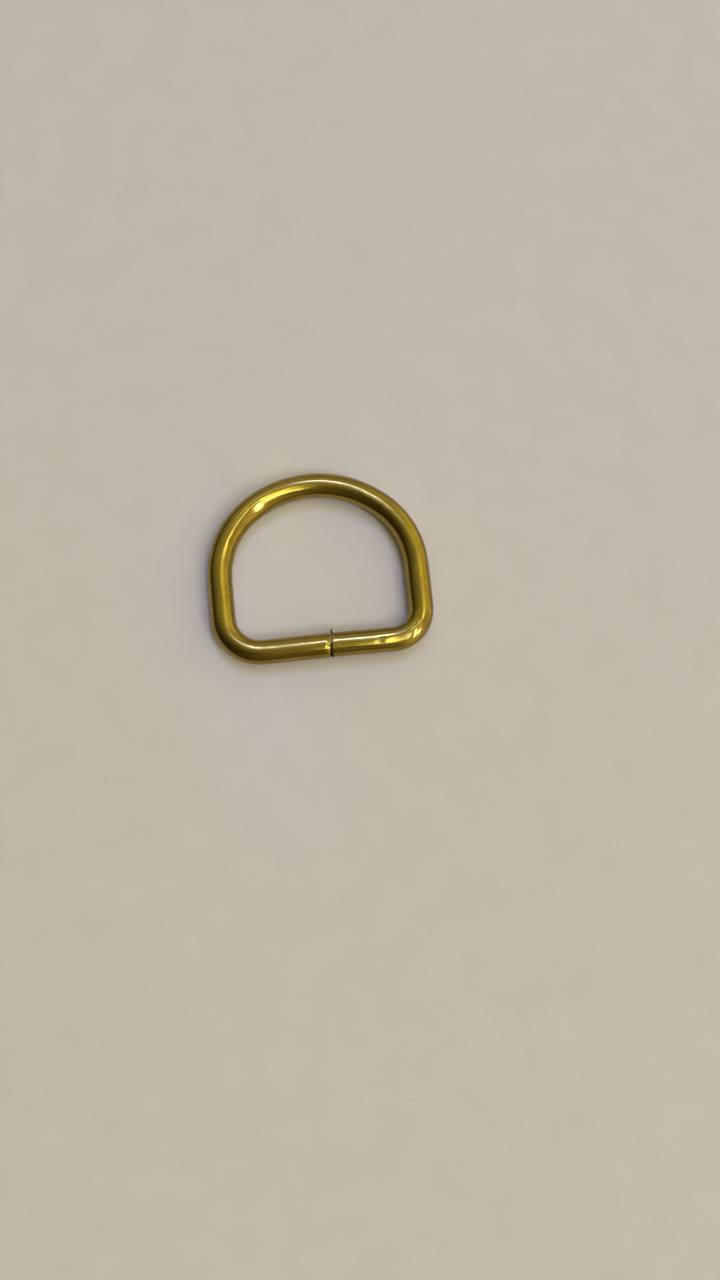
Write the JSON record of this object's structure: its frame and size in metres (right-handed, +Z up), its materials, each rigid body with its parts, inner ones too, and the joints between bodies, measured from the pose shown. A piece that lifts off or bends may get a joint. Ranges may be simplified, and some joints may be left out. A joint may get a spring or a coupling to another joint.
{
  "type": "d ring",
  "caption": "D-shaped ring bent from round brass wire, with an unsoldered butt seam in its straight bar, for joining a strap or webbing to a hook.",
  "frame": {"origin": "below the middle of the outline, on the surface that the ring lies on", "axes": "+X along the straight bar, +Y from the bar to the top of the arch, +Z up out of the surface"},
  "size_m": [0.0326, 0.0278, 0.0035],
  "materials": {
    "brass": "polished, lightly tarnished"
  },
  "bodies": {
    "root": {"d_ring": "brass"}
  },
  "joints": []
}
